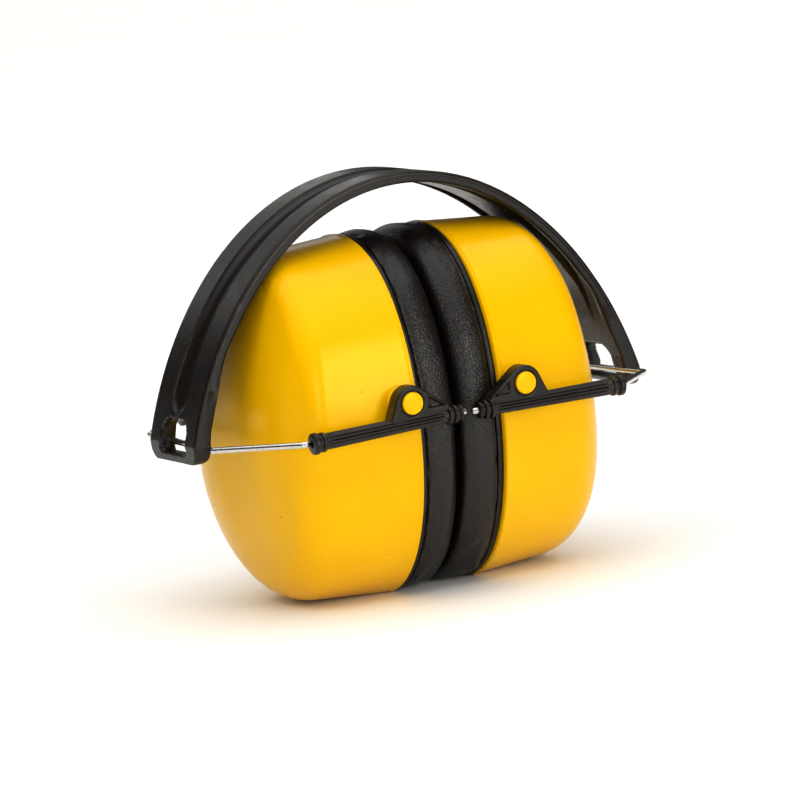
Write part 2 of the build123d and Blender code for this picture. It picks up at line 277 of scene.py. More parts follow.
class Surface:
    """A Principled material whose colour, roughness and bump come from object-space noise."""

    def __init__(self, name, **sockets):
        self.material = bpy.data.materials.new(name)
        self.material.use_nodes = True
        self.nodes = self.material.node_tree.nodes
        self.links = self.material.node_tree.links
        self.shader = self.nodes["Principled BSDF"]
        self.place = self.nodes.new("ShaderNodeTexCoord").outputs["Object"]
        self.normal = None
        for socket, value in sockets.items():
            self.shader.inputs[socket.replace("_", " ")].default_value = value

    def stretched(self, x, y, z):
        node = self.nodes.new("ShaderNodeMapping")
        node.inputs["Scale"].default_value = (x, y, z)
        self.links.new(self.place, node.inputs["Vector"])
        return node.outputs["Vector"]

    def noise(self, size_mm, detail=3.0, roughness=0.55, vector=None):
        node = self.nodes.new("ShaderNodeTexNoise")
        node.inputs["Scale"].default_value = 1000 / size_mm
        node.inputs["Detail"].default_value = detail
        node.inputs["Roughness"].default_value = roughness
        self.links.new(vector or self.place, node.inputs["Vector"])
        return node.outputs["Fac"]

    def cells(self, size_mm, feature="F1"):
        node = self.nodes.new("ShaderNodeTexVoronoi")
        node.feature = feature
        node.inputs["Scale"].default_value = 1000 / size_mm
        self.links.new(self.place, node.inputs["Vector"])
        return node.outputs["Distance"]

    def ramp(self, value, low, high, low_value=0.0, high_value=1.0):
        """Maps value from low..high to low_value..high_value, clamped."""
        node = self.nodes.new("ShaderNodeMapRange")
        for socket, number in (
            ("From Min", low), ("From Max", high), ("To Min", low_value), ("To Max", high_value)
        ):
            node.inputs[socket].default_value = number
        self.links.new(value, node.inputs["Value"])
        return node.outputs["Result"]

    def math(self, operation, a, b):
        return math_node(self.material.node_tree, operation, a, b)

    def mix(self, factor, a, b):
        """Mixes two colours. Each of a and b is a tuple or another node's output."""
        node = self.nodes.new("ShaderNodeMix")
        node.data_type = "RGBA"
        self.links.new(factor, node.inputs["Factor"])
        for socket, value in ((node.inputs[6], a), (node.inputs[7], b)):
            if isinstance(value, tuple):
                socket.default_value = (*value, 1.0)
            else:
                self.links.new(value, socket)
        return node.outputs[2]

    def bump(self, height, distance_mm):
        """Adds relief of a given depth on top of the bumps so far."""
        node = self.nodes.new("ShaderNodeBump")
        node.inputs["Distance"].default_value = distance_mm * MM
        self.links.new(height, node.inputs["Height"])
        if self.normal is not None:
            self.links.new(self.normal, node.inputs["Normal"])
        self.normal = node.outputs["Normal"]

    def pointiness(self):
        return self.nodes.new("ShaderNodeNewGeometry").outputs["Pointiness"]

    def done(self, colour, roughness):
        self.links.new(colour, self.shader.inputs["Base Color"])
        self.links.new(roughness, self.shader.inputs["Roughness"])
        if self.normal is not None:
            self.links.new(self.normal, self.shader.inputs["Normal"])
        return self.material


def yellow_plastic():
    """Glossy moulded plastic with faint mottling, a few dark specks and fine scuffs."""
    s = Surface("yellow_plastic", IOR=1.46)
    s.shader.inputs["Specular Tint"].default_value = (1.0, 0.84, 0.26, 1.0)
    tone = s.mix(s.ramp(s.noise(30, 2), 0.35, 0.65), (0.77, 0.425, 0.0), (0.81, 0.460, 0.0))
    dot = s.ramp(s.cells(7.5), 0.035, 0.055, 1.0, 0.0)
    speck = s.math("MULTIPLY", dot, s.ramp(s.noise(11, 1), 0.60, 0.62))
    tone = s.mix(s.math("MULTIPLY", speck, 0.75), tone, (0.32, 0.13, 0.01))
    scuff = s.ramp(s.noise(1.6, 4, 0.7, s.stretched(0.3, 1.0, 1.0)), 0.62, 0.74)
    rough = s.math("ADD", s.ramp(s.noise(9, 3), 0.3, 0.7, 0.21, 0.27), s.math("MULTIPLY", scuff, 0.10))
    s.bump(s.noise(0.9, 3), 0.010)
    s.bump(s.noise(14, 1), 0.05)
    return s.done(tone, rough)


def black_plastic():
    """Satin moulded plastic, lighter on its convex edges: partly wear, partly a painted highlight."""
    s = Surface("black_plastic", IOR=1.42)
    tone = s.mix(s.ramp(s.noise(12, 4), 0.35, 0.7), (0.0062, 0.0046, 0.0037), (0.0105, 0.0080, 0.0064))
    # Convex edges are lightened in the base colour: partly wear, partly a painted highlight.
    edge_wear_and_highlight = s.ramp(s.pointiness(), 0.52, 0.60)
    edge_wear_and_highlight = s.math("MULTIPLY", edge_wear_and_highlight, s.ramp(s.noise(3, 4), 0.4, 0.7))
    tone = s.mix(s.math("MULTIPLY", edge_wear_and_highlight, 0.5), tone, (0.070, 0.062, 0.054))
    rough = s.ramp(s.noise(5, 5, 0.65), 0.3, 0.7, 0.24, 0.36)
    s.bump(s.noise(0.45, 3), 0.012)
    s.bump(s.cells(0.9, feature="SMOOTH_F1"), 0.012)
    return s.done(tone, rough)


def black_vinyl():
    """Soft sheet with a leather grain of two sizes, with painted shade in the grain's cracks."""
    s = Surface("black_vinyl", IOR=1.50)
    tone = s.mix(s.ramp(s.noise(6, 4), 0.35, 0.7), (0.0045, 0.0030, 0.0024), (0.0080, 0.0058, 0.0046))
    grain = s.cells(1.0, feature="DISTANCE_TO_EDGE")
    small = s.cells(0.55)
    # Painted shade: the tone is darker in the grain's cracks.
    tone = s.mix(s.ramp(grain, 0.0, 0.12, 0.6, 0.0), tone, (0.003, 0.0025, 0.002))
    rough = s.ramp(s.noise(1.5, 4), 0.35, 0.65, 0.28, 0.38)
    s.bump(s.noise(3.0, 3), 0.06)
    s.bump(s.ramp(grain, 0.0, 0.22), 0.048)
    s.bump(s.ramp(small, 0.0, 0.7), 0.030)
    s.bump(s.noise(0.3, 3, 0.6), 0.012)
    return s.done(tone, rough)


def steel_wire():
    """Bright drawn wire, streaked along X."""
    s = Surface("steel_wire", Metallic=1.0)
    streak = s.noise(0.7, 4, 0.6, s.stretched(0.06, 1.0, 1.0))
    tone = s.mix(s.ramp(streak, 0.35, 0.7), (0.52, 0.51, 0.49), (0.74, 0.73, 0.70))
    rough = s.ramp(streak, 0.3, 0.7, 0.12, 0.22)
    s.bump(streak, 0.006)
    return s.done(tone, rough)


def open_foam():
    """Dark foam with open pores, with painted shade inside the pores."""
    s = Surface("open_foam", IOR=1.4)
    s.shader.inputs["Sheen Weight"].default_value = 0.3
    pores = s.cells(1.1)
    # Painted shade: the tone is darkest in the middle of each pore, where the bump sinks.
    tone = s.mix(s.ramp(pores, 0.15, 0.6), (0.012, 0.012, 0.013), (0.075, 0.075, 0.080))
    rough = s.ramp(s.noise(4, 3), 0.3, 0.7, 0.85, 0.97)
    s.bump(pores, 0.45)
    s.bump(s.noise(0.5, 4), 0.12)
    return s.done(tone, rough)


YELLOW = yellow_plastic()
BLACK = black_plastic()
VINYL = black_vinyl()
STEEL = steel_wire()
FOAM = open_foam()


# ---------------------------------------------------------------- cups


def cup_outline(inset):
    half_width, half_height = (size - inset for size in CUP_MOUTH_SIZE)
    return outline(CUP_POINTS, half_width, half_height, CUP_ROUNDNESS)


def cup_mouth(inset, x):
    """One ring of the cup's lip."""
    yz = cup_outline(inset)
    z = np.maximum(yz[:, 1] + CUP_Z, inset)
    return np.stack([np.full(len(z), x), yz[:, 0], z], 1)


def cup_rings(inset=0.0, mouth=None):
    """Rings of the cup's form from its mouth to its crown, at a depth below its surface."""
    mouth = CUP_MOUTH + 0.45 if mouth is None else mouth
    base = cup_outline(inset)
    reach = np.hypot(base[:, 0], base[:, 1])
    way_y, way_z = base[:, 0] / reach, base[:, 1] / reach
    spread, roll = (radius - inset for radius in CROWN_RADII)
    radius = CUP_SHOULDER - inset - SHOULDER_CHANGE * way_z
    radius = radius - SHOULDER_CREASE * way_y**4 * rising(way_z, -0.35, 0.7)

    def crown(out):
        """The crown's x and its slope, at a distance from the cup's axis."""
        y, z = out * way_y, out * way_z + CROWN_DROP
        across, along = np.sqrt(spread**2 - y**2), np.sqrt(roll**2 - z**2)
        x = CUP_FACE - inset - (spread - across) - (roll - along)
        return x, -(y * way_y / across + z * way_z / along)

    # Bisection for the place where the shoulder leaves the crown and still meets the wall
    near, far = np.zeros(CUP_POINTS), reach.copy()
    for _ in range(40):
        tangent = (near + far) / 2
        x, slope = crown(tangent)
        steep = np.sqrt(1 + slope**2)
        centre_x, centre_out = x - radius / steep, tangent + radius * slope / steep
        wall = reach - (centre_x - CUP_MOUTH) * math.tan(CUP_DRAFT) - radius / math.cos(CUP_DRAFT)
        beyond = centre_out > wall
        far, near = np.where(beyond, tangent, far), np.where(beyond, near, tangent)

    rings = []
    wall_end = centre_x + radius * math.sin(CUP_DRAFT)
    for share in np.linspace(0, 1, 30)[:-1] ** 2:
        x = mouth + (wall_end - mouth) * share
        bead = 0.0 if inset else RIM_BEAD * np.exp(-(((x - CUP_MOUTH - 0.55) / 0.42) ** 2))
        rings.append((x, reach - (x - CUP_MOUTH) * math.tan(CUP_DRAFT) + bead))
    turn_end = np.arctan2(1.0, -slope)
    for share in np.linspace(0, 1, 22):
        turn = CUP_DRAFT + (turn_end - CUP_DRAFT) * share
        rings.append((centre_x + radius * np.sin(turn), centre_out + radius * np.cos(turn)))
    for share in np.linspace(0, 0.99, 26)[1:]:
        out = tangent * (1 - share)
        rings.append((crown(out)[0], out))
    placed = []
    for x, out in rings:
        y, z = out * way_y, out * way_z
        depth = np.clip((x - CUP_MOUTH) / (CUP_FACE - CUP_MOUTH), 0, 1)
        bulge = REAR_FULLNESS * depth**3 * rising(y, -6, 30) * np.exp(-(((z + 15) / 28) ** 2))
        fall = FRONT_FALL * depth**3 * rising(-y, 24, 12)
        placed.append(np.stack([x + bulge - fall, y, np.maximum(z + CUP_Z, inset)], 1))
    return placed


def cup_shell():
    """The hollow cup: its inside, its lip, its outside, and the raised pads round the two studs."""
    lip = [cup_mouth(CUP_WALL, CUP_MOUTH + 0.2), cup_mouth(CUP_WALL - 0.2, CUP_MOUTH)]
    lip += [cup_mouth(0.45, CUP_MOUTH), cup_mouth(0.13, CUP_MOUTH + 0.13)]
    shell = loft(cup_rings(CUP_WALL)[::-1] + lip + cup_rings(), start_cap=True, end_cap=True)
    pad = ((0, 0.01), (0, 3.7), (-0.3, 4.0), (-3.6, 4.6), (-3.6, 0.01))
    pads = []
    for face in FACES.values():
        tip = (PIVOT_X, -face * PAD_FACE_Y, PIVOT_Z)
        pads.append(revolve(pad, tip, (0, -face, 0), 64))
    return merge(shell, *pads)


# ---------------------------------------------------------------- cushions


def ring_section(profile, count, outer, opening):
    """A ring with the same section all round.

    The profile holds (share, x): share 0 is at the opening's outline and 1 at the outer outline.
    """
    big = outline(count, *outer, CUP_ROUNDNESS)
    small = outline(count, *opening, CUP_ROUNDNESS)
    rings = []
    for share, x in profile:
        yz = small + (big - small) * share
        z = np.maximum(yz[:, 1] + CUP_Z, GROUND_GAP)
        rings.append(np.stack([np.full(count, x), yz[:, 0], z], 1))
    return loft(rings, closed_loop=True)


def cushion_profile(inset=0.0):
    """The pillow's section: from the weld at the back, round the outside, to the weld at the opening."""
    back = CUSHION_BACK - 0.05
    corners = (
        (0.950, back),
        (0.982, back - 0.35),
        (1.000, back - 1.6),
        (1.008, back - 3.6),
        (1.006, back - 5.8),
        (0.985, back - 7.7),
        (0.935, back - 9.2),
        (0.840, back - 9.95),
        (0.650, back - 10.1),
        (0.420, back - 10.1),
        (0.220, back - 9.9),
        (0.070, back - 8.8),
        (0.000, back - 6.8),
        (-0.020, back - 4.2),
        (0.000, back - 1.8),
        (0.040, back - 0.3),
        (0.080, back),
    )
    dense = spline(corners, 3)
    middle = np.array([0.5, back - 5.0])
    grow = np.array([1 - inset / 9.5, 1 - inset / 5.0])
    return middle + (dense - middle) * grow


def simulate_cushion(obj):
    """Blows the cushion up against its weld, and keeps every point near where it was."""
    start = np.array([v.co for v in obj.data.vertices], float)
    back = (CUSHION_BACK - 0.6) * MM
    held = obj.vertex_groups.new(name="weld")
    held.add([i for i, p in enumerate(start) if abs(p[0]) > back], 1.0, "REPLACE")
    cloth = obj.modifiers.new("cloth", "CLOTH")
    cloth.settings.quality = 6
    cloth.settings.mass = 0.25
    cloth.settings.tension_stiffness = 12
    cloth.settings.compression_stiffness = 12
    cloth.settings.bending_stiffness = 0.4
    cloth.settings.use_pressure = True
    cloth.settings.uniform_pressure_force = 4.0
    cloth.settings.shrink_min = -0.035
    cloth.settings.vertex_group_mass = "weld"
    cloth.settings.effector_weights.gravity = 0
    cloth.collision_settings.use_collision = False
    scene = bpy.context.scene
    for number in range(SIMULATED_FRAMES):
        scene.frame_set(1 + number)
    graph = bpy.context.evaluated_depsgraph_get()
    moved = np.array([v.co for v in obj.evaluated_get(graph).data.vertices], float)
    obj.modifiers.clear()
    obj.vertex_groups.clear()
    scene.frame_set(1)
    step = moved - start
    length = np.linalg.norm(step, axis=1, keepdims=True)
    reach = CUSHION_REACH * MM
    step *= np.tanh(length / reach) * reach / np.maximum(length, 1e-9)
    for vertex, point in zip(obj.data.vertices, start + step):
        vertex.co = point


def settle_cushion(obj, side):
    """Fine puckers beside the weld, soft dents over the pillow, and a flat where it meets a neighbour."""
    back = CUSHION_BACK * MM
    near = CUSHION_FACE * MM
    depths = [back - abs(vertex.co.x) for vertex in obj.data.vertices]
    swell = (back - near) / np.percentile(depths, 88)
    seed = Vector((3.0 * side, 0.0, 0.0))
    for vertex in obj.data.vertices:
        p = vertex.co
        depth = (back - abs(p.x)) * swell
        p.x = math.copysign(back - depth, p.x)
        out = Vector((0, p.y, p.z - CUP_Z * MM)).normalized()
        dent = noise.noise(p * 70 + seed) * 0.22
        pucker = noise.noise(Vector((p.x * 90, p.y * 420, p.z * 420)) + seed) * 0.16
        pucker *= math.exp(-((depth / (3.2 * MM)) ** 2))
        weld = 0.28 * math.exp(-(((depth - 0.9 * MM) / (0.35 * MM)) ** 2))
        from_middle = p.y**2 / PILLOW_MIDDLE[0] + (p.z - CUP_Z * MM) ** 2 / PILLOW_MIDDLE[1]
        outside = 1.0 if from_middle > 1 else -1.0
        p += out * (dent + pucker - weld) * outside * MM
        if abs(p.x) < near:
            p.x = math.copysign(near, p.x)
        p.z = max(p.z, GROUND_GAP * MM)


def make_cushion(side):
    sign = SIDES[side]
    points, faces = ring_section(cushion_profile(), CUSHION_POINTS, CUSHION_OUTER, CUSHION_OPENING)
    cushion = mesh_object(f"{side}_ear_cushion", points, faces, VINYL, (sign, 1), 60)
    simulate_cushion(cushion)
    settle_cushion(cushion, sign)
    subdivide(cushion)
    return cushion


def subdivide(obj):
    """Applies one level of subdivision."""
    modifier = obj.modifiers.new("smooth", "SUBSURF")
    modifier.levels = 1
    graph = bpy.context.evaluated_depsgraph_get()
    mesh = bpy.data.meshes.new_from_object(obj.evaluated_get(graph))
    obj.modifiers.clear()
    obj.data = mesh


def seat_ring():
    """The hard ring behind the cushion: its rounded edge shows between the cushion and the cup."""
    x_front, x_back = CUSHION_BACK, CUP_MOUTH
    flange = (
        (0.0, x_front + 0.2), (0.02, x_front), (0.955, x_front), (0.984, x_front + 0.1),
        (0.996, x_front + 0.4), (1.0, x_front + 0.8), (0.996, x_back - 0.3), (0.985, x_back - 0.05),
        (0.86, x_back - 0.05), (0.855, x_back + 2.9), (0.77, x_back + 2.9), (0.765, x_back), (0.0, x_back),
    )
    outer = (CUP_MOUTH_SIZE[0] - 1.5, CUP_MOUTH_SIZE[1] + 0.1)
    return ring_section(flange, CUSHION_POINTS, outer, RING_OPENING)


def acoustic_foam(seed):
    """The foam that fills the bowl, with a dish towards the ear, a raised rim and an uneven skin."""
    body = cup_rings(CUP_WALL + FOAM_GAP, FOAM_MOUTH - FOAM_COLLAR + 1.0)
    face = []
    for share in np.linspace(0.04, 1.0, 26):
        yz = outline(CUP_POINTS, FOAM_FACE[0] * share, FOAM_FACE[1] * share, 2.25)
        level = FOAM_MOUTH + FOAM_DISH_DEPTH * (1 - rising(share, 0.55, 0.28))
        level -= FOAM_COLLAR * rising(share, 0.84, 0.13)
        face.append(np.stack([np.full(CUP_POINTS, level), yz[:, 0], yz[:, 1] + CUP_Z], 1))
    points, faces = loft(face + body, start_cap=True, end_cap=True)
    moved = []
    for point in points:
        p = Vector(point)
        lump = noise.noise(p * 0.16 + seed) * 0.5 + noise.noise(p * 0.9 + seed) * 0.22
        if p.x < FOAM_MOUTH + 8.5 and (p.y / 33) ** 2 + ((p.z - CUP_Z) / 44) ** 2 < 1:
            p.x += lump
        moved.append(p)
    return moved, faces


# ---------------------------------------------------------------- headband


def band_outer(t):
    """X and Z of the outer surface, at an angle from the top."""
    return np.stack([BAND_RADII[0] * np.sin(t), BAND_TOP - BAND_RADII[1] * (1 - np.cos(t))], -1)


def band_inward(t):
    """Unit vector from the outer surface towards the inside of the arch."""
    n = np.stack([np.sin(t) / BAND_RADII[0], np.cos(t) / BAND_RADII[1]], -1)
    return -n / np.linalg.norm(n, axis=-1, keepdims=True)


def band_inner(t):
    """The inner surface: parallel to the outer one in the arch, and a straight thick block at the ends."""
    outer = band_outer(t)
    arch = outer + band_inward(t) * BAND_THICKNESS
    z = outer[..., 1]
    block_x = np.interp(z, BLOCK_HEIGHTS, BLOCK_INNER_X)
    block = np.stack([np.sign(t) * block_x, z], -1)
    share = rising(z, *BLOCK_FADE)[..., None]
    return block * (1 - share) + arch * share


def window_distance(y, z):
    """Distance from the window's edge, negative inside it."""
    half_width = WINDOW_HALF_WIDTH - WINDOW_TAPER * (z - WINDOW_WIDTH_Z)
    radius = np.where(z > WINDOW_Z, *WINDOW_CORNERS)
    dy = np.abs(y) - (half_width - radius)
    dz = np.abs(z - WINDOW_Z) - (WINDOW_HALF_HEIGHT - radius)
    outside = np.hypot(np.maximum(dy, 0), np.maximum(dz, 0))
    return outside + np.minimum(np.maximum(dy, dz), 0) - radius


def band_angle(z):
    """The angle from the top at which the outer surface has a given height."""
    return np.arccos(np.clip(1 - (BAND_TOP - z) / BAND_RADII[1], -1, 1))


def band_point(y, t, layer):
    """A point on the band's outer (layer 0) or inner (layer 1) surface, with all its relief."""
    outer, inner = band_outer(t), band_inner(t)
    z = outer[..., 1]
    through = inner - outer
    thickness = np.linalg.norm(through, axis=-1)
    through = through / thickness[..., None]
    from_bottom = z - BAND_BOTTOM
    half = BAND_HALF_WIDTH - round_edge(from_bottom, BAND_CORNER)
    y = y * half / BAND_HALF_WIDTH
    from_side = half - np.abs(y)
    from_window = np.maximum(window_distance(y, z), 0)
    foot = round_edge(from_bottom, BAND_FOOT)
    if layer == 0:
        below = np.maximum(CHANNEL_END_Z - z, 0)
        inside = CHANNEL_HALF_WIDTH - np.hypot(y, below)
        share = np.clip(inside / CHANNEL_HALF_WIDTH, 0, 1)
        fall = CHANNEL_DEPTH * np.sqrt(1 - (1 - share) ** 3)
        fall = np.maximum(fall, round_edge(from_side, 0.8))
        fall = np.maximum(fall, round_edge(from_window, 0.55))
        fall = fall + END_STEP_SLOPE * np.maximum(END_STEP_Z - z, 0) * smoothstep((END_STEP_Z - z) / 0.5)
        place = outer + through * np.maximum(fall, foot)[..., None]
    else:
        start, end = RECESS_SPAN
        recess = rising(np.abs(y), start, 0.8) * smoothstep((end - np.abs(y)) / 0.8)
        fall = RECESS_DEPTH * recess * rising(z, *RECESS_FADE)
        fall = np.maximum(fall, round_edge(from_side, 0.6))
        fall = np.maximum(fall, round_edge(from_window, 0.9))
        place = inner - through * np.maximum(fall, foot)[..., None]
    return np.stack([place[..., 0], y, place[..., 1]], -1)


def band_stations():
    """Angles along the right half, closer together towards the end, then mirrored."""
    nearest_top = 0.012
    t = float(band_angle(np.array(BAND_BOTTOM)))
    angles = []
    while t > nearest_top:
        angles.append(t)
        speed = math.hypot(BAND_RADII[0] * math.cos(t), BAND_RADII[1] * math.sin(t))
        height = BAND_TOP - BAND_RADII[1] * (1 - math.cos(t)) - BAND_BOTTOM
        step = 0.12 if height < BAND_FOOT else 0.36 if height < 24 else 1.0
        t -= step / speed
    return np.array(angles + [0.0] + [-a for a in reversed(angles)])


def band_grid():
    """Angles and Y of the band's grid, with the points beside the window moved onto its edge.

    Also gives which of the grid's faces are open because they lie in the window.
    """
    stations = band_stations()
    # Columns lie close together at the edge and on the channel's wall
    edge = BAND_HALF_WIDTH - np.array([0.0, 0.06, 0.2, 0.42, 0.7])
    rail = np.linspace(13.4, 5.1, 17)[:-1]
    wall = np.linspace(5.1, 4.5, 9)[:-1]
    floor_half = np.linspace(4.5, 0, 11)[:-1]
    half = np.concatenate([edge, rail, wall, floor_half])
    across = np.concatenate([-half, [0.0], half[::-1]])
    t, y = np.meshgrid(stations, across, indexing="ij")
    z = band_outer(t)[..., 1]
    distance = window_distance(y, z)
    centre = (distance[:-1, :-1] + distance[1:, :-1] + distance[:-1, 1:] + distance[1:, 1:]) / 4
    open_faces = centre < 0
    touches_open = np.zeros(distance.shape, bool)
    touches_kept = np.zeros(distance.shape, bool)
    for i in (0, 1):
        for j in (0, 1):
            view = (slice(i, distance.shape[0] - 1 + i), slice(j, distance.shape[1] - 1 + j))
            touches_open[view] |= open_faces
            touches_kept[view] |= ~open_faces
    border = touches_open & touches_kept
    for _ in range(4):
        d = window_distance(y, z)
        small = 0.01
        slope_y = (window_distance(y + small, z) - d) / small
        slope_z = (window_distance(y, z + small) - d) / small
        steep = np.maximum(slope_y**2 + slope_z**2, 0.2)
        y = np.where(border, y - d * slope_y / steep, y)
        z = np.where(border, z - d * slope_z / steep, z)
    t = np.where(border, np.sign(t) * band_angle(z), t)
    return t, y, z, open_faces


def headband():
    """Outer and inner surface over one grid, joined round the window, at the ends and along the sides."""
    t, y, z, open_faces = band_grid()
    outer = band_point(y, t, 0)
    inner = band_point(y, t, 1)
    rows, columns = y.shape
    count = rows * columns
    points = outer.reshape(-1, 3).tolist() + inner.reshape(-1, 3).tolist()
    faces = []
    for r in range(rows - 1):
        for c in range(columns - 1):
            a, b = r * columns + c, r * columns + c + 1
            d, e = a + columns, b + columns
            if not open_faces[r, c]:
                faces.append((a, b, e, d))
                faces.append((count + d, count + e, count + b, count + a))
                continue
            for p, q, nr, nc in ((a, b, r - 1, c), (d, e, r + 1, c), (a, d, r, c - 1), (b, e, r, c + 1)):
                if not open_faces[nr, nc]:
                    faces.append((p, q, count + q, count + p))
    for c in range(columns - 1):
        for r in (0, rows - 1):
            a, b = r * columns + c, r * columns + c + 1
            faces.append((a, b, count + b, count + a))
    # The long sides have a small step a quarter of the way through their thickness
    for c in (0, columns - 1):
        strips = [[r * columns + c for r in range(rows)]]
        sign = 1 if c else -1
        arch = rising(z[:, c], *SIDE_STEP_FADE)
        for share, step in ((0.24, 0.0), (0.30, SIDE_STEP)):
            row_points = outer[:, c] * (1 - share) + inner[:, c] * share
            row_points[:, 1] -= sign * step * arch
            strips.append([len(points) + r for r in range(rows)])
            points.extend(row_points.tolist())
        for r in range(rows):
            points[count + r * columns + c][1] -= sign * SIDE_STEP * arch[r]
        strips.append([count + r * columns + c for r in range(rows)])
        for first, second in zip(strips, strips[1:]):
            for r in range(rows - 1):
                faces.append((first[r], first[r + 1], second[r + 1], second[r]))
    return points, faces


# ---------------------------------------------------------------- wires


def bent_path(corners, radius):
    """Straight runs joined by arcs, as a list of points."""
    steps = 10
    path = [Vector(corners[0])]
    for before, corner, after in zip(corners, corners[1:], corners[2:]):
        corner = Vector(corner)
        u = (Vector(before) - corner).normalized()
        v = (Vector(after) - corner).normalized()
        half = u.angle(v) / 2
        reach = radius / math.tan(half)
        centre = corner + (u + v).normalized() * (radius / math.sin(half))
        start, end = corner + u * reach - centre, corner + v * reach - centre
        for k in range(steps + 1):
            path.append(centre + start.slerp(end, k / steps))
    path.append(Vector(corners[-1]))
    return path


def tube(path, radius):
    """A round wire along a nearly level path, with rounded tips."""
    count = 20
    rings = []
    up = np.array([0.0, 0.0, 1.0])
    angle = np.arange(count) * 2 * math.pi / count
    places = [(path[0], path[1] - path[0])]
    for a, b, c in zip(path, path[1:], path[2:]):
        places.append((b, (b - a).normalized() + (c - b).normalized()))
    places.append((path[-1], path[-1] - path[-2]))
    for index, (point, direction) in enumerate(places):
        d = np.array(direction.normalized())
        side = np.cross(up, d)
        ring = np.outer(np.cos(angle), side) + np.outer(np.sin(angle), up)
        tips = ((0.0, 1.0),)
        if index == 0:
            tips = ((-0.55, 0.35), (-0.4, 0.75), (0.0, 1.0))
        elif index == len(places) - 1:
            tips = ((0.0, 1.0), (0.4, 0.75), (0.55, 0.35))
        for along, share in tips:
            rings.append(np.array(point) + d * along * radius + ring * radius * share)
    return loft(rings, start_cap=True, end_cap=True)


def wire_fork():
    """The right fork. The band sits off its middle, so its two corners differ, and both hang a little."""
    rear_y, front_y = 17.3, 24.6
    rear_sag, front_sag = 2.0, 0.9
    leg_corner_x = 50.3
    tip_x = WIRE_LOW.x
    front_slope = FRONT_DROOP / (ARM_OUTER - PIVOT_X)
    rear_slope = REAR_DROOP / (ARM_OUTER - PIVOT_X)
    corners = [
        (tip_x, -LEG_Y, HINGE_Z - front_slope * (tip_x - PIVOT_X)),
        (leg_corner_x, -LEG_Y, HINGE_Z - front_slope * (leg_corner_x - PIVOT_X)),
        (HINGE_X, -front_y, HINGE_Z - front_sag),
        (HINGE_X, rear_y, HINGE_Z - rear_sag),
        (leg_corner_x, LEG_Y, HINGE_Z - rear_slope * (leg_corner_x - PIVOT_X)),
        (tip_x, LEG_Y, HINGE_Z - rear_slope * (tip_x - PIVOT_X)),
    ]
    return tube(bent_path(corners, 2.8), WIRE_RADIUS)


# ---------------------------------------------------------------- arms and studs

ARM_INNER = ARM_LOW.x
ARM_OUTER = ARM_HIGH.x
ARM_BORE = 0.98
FLUTES = 14
FLUTE_DEPTH = 0.38
COLLARS = (
    # middle, width and radius
    (ARM_INNER + 0.55, 1.1, 2.30),
    (ARM_INNER + 2.3, 1.2, 2.60),
    (ARM_INNER + 4.1, 1.2, 2.70),
    (ARM_OUTER - 3.1, 1.2, 2.70),
    (ARM_OUTER - 0.9, 1.8, 2.95),
)


def sleeve_radius(x):
    """The sleeve widens a little towards its outer end, and each collar stands out from it."""
    share = (x - ARM_INNER) / (ARM_OUTER - ARM_INNER)
    radius = 1.90 + 0.38 * share
    for middle, width, top in COLLARS:
        off = abs(x - middle) / (width / 2)
        if off < 1:
            radius = max(radius, radius + (top - radius) * math.sqrt(1 - off**4))
    return radius


def flutes(x, radius, angle):
    """Shallow grooves along the sleeve, between the collars."""
    inside = min(x - (ARM_INNER + 5.2), (ARM_OUTER - 4.2) - x)
    depth = FLUTE_DEPTH * float(smoothstep(inside / 1.2))
    return radius - depth * (0.5 + 0.5 * np.cos(FLUTES * angle)) ** 2


def sleeve():
    """The fluted tube on the fork's leg, with rings of points close together at the collars."""
    stops = set(np.arange(ARM_INNER, ARM_OUTER, 0.9).tolist())
    for middle, width, _ in COLLARS:
        stops.update((middle + width / 2 * math.sin(a)) for a in np.linspace(-math.pi / 2, math.pi / 2, 9))
        stops.update((middle - width / 2 - 0.02, middle + width / 2 + 0.02))
    xs = sorted(x for x in stops if ARM_INNER + 0.25 <= x <= ARM_OUTER - 0.25)
    profile = [(ARM_INNER + 3.0, ARM_BORE), (ARM_INNER, ARM_BORE)]
    profile += [(ARM_INNER, 1.6), (ARM_INNER + 0.08, 1.85)]
    profile += [(x, sleeve_radius(x)) for x in xs]
    profile += [(ARM_OUTER - 0.1, 2.6), (ARM_OUTER, 2.3)]
    profile += [(ARM_OUTER, ARM_BORE), (ARM_OUTER - 3.0, ARM_BORE)]
    return revolve(profile, (0, -LEG_Y, HINGE_Z), (1, 0, 0), FLUTES * 10, flutes)


EYE_RADIUS = 4.8
EYE_BORE = 2.46
EYE_NEAR, EYE_FAR = 38.7, 43.4  # distances from the middle plane, in Y
EYE_FEET = ((6.2, 1.9, 0.5), (23.4, 1.3, 0.9))  # x, height above the sleeve's axis and radius
LUG_ROUND = 0.55  # radius of the outer face's edge
HEAD_SEAT = 3.75  # radius at which the recess for the stud's head starts
WEB_POCKET = (7.0, 12.6, 3.0)  # start and end in X, and height above the sleeve's axis
WEB_POCKET_DEPTH = 0.8
STUD_TIP_Y = 34.4  # the end of the shank, inside the cup's pad


def lug_reach(angle):
    """Distance from the pivot to the lug's outline: the hull of the eye and its two feet."""
    direction = np.array([math.cos(angle), math.sin(angle)])
    circles = [(0.0, 0.0, EYE_RADIUS)]
    circles += [(x - PIVOT_X, HINGE_Z + rise - PIVOT_Z, r) for x, rise, r in EYE_FEET]
    best = EYE_RADIUS
    for i, (ax, az, ar) in enumerate(circles):
        for bx, bz, br in circles[i + 1:]:
            for k in np.linspace(0, 1, 60):
                c = np.array([ax + (bx - ax) * k, az + (bz - az) * k])
                r = ar + (br - ar) * k
                along = c @ direction
                off = r * r - (c @ c - along**2)
                if off > 0:
                    best = max(best, along + math.sqrt(off))
    return best


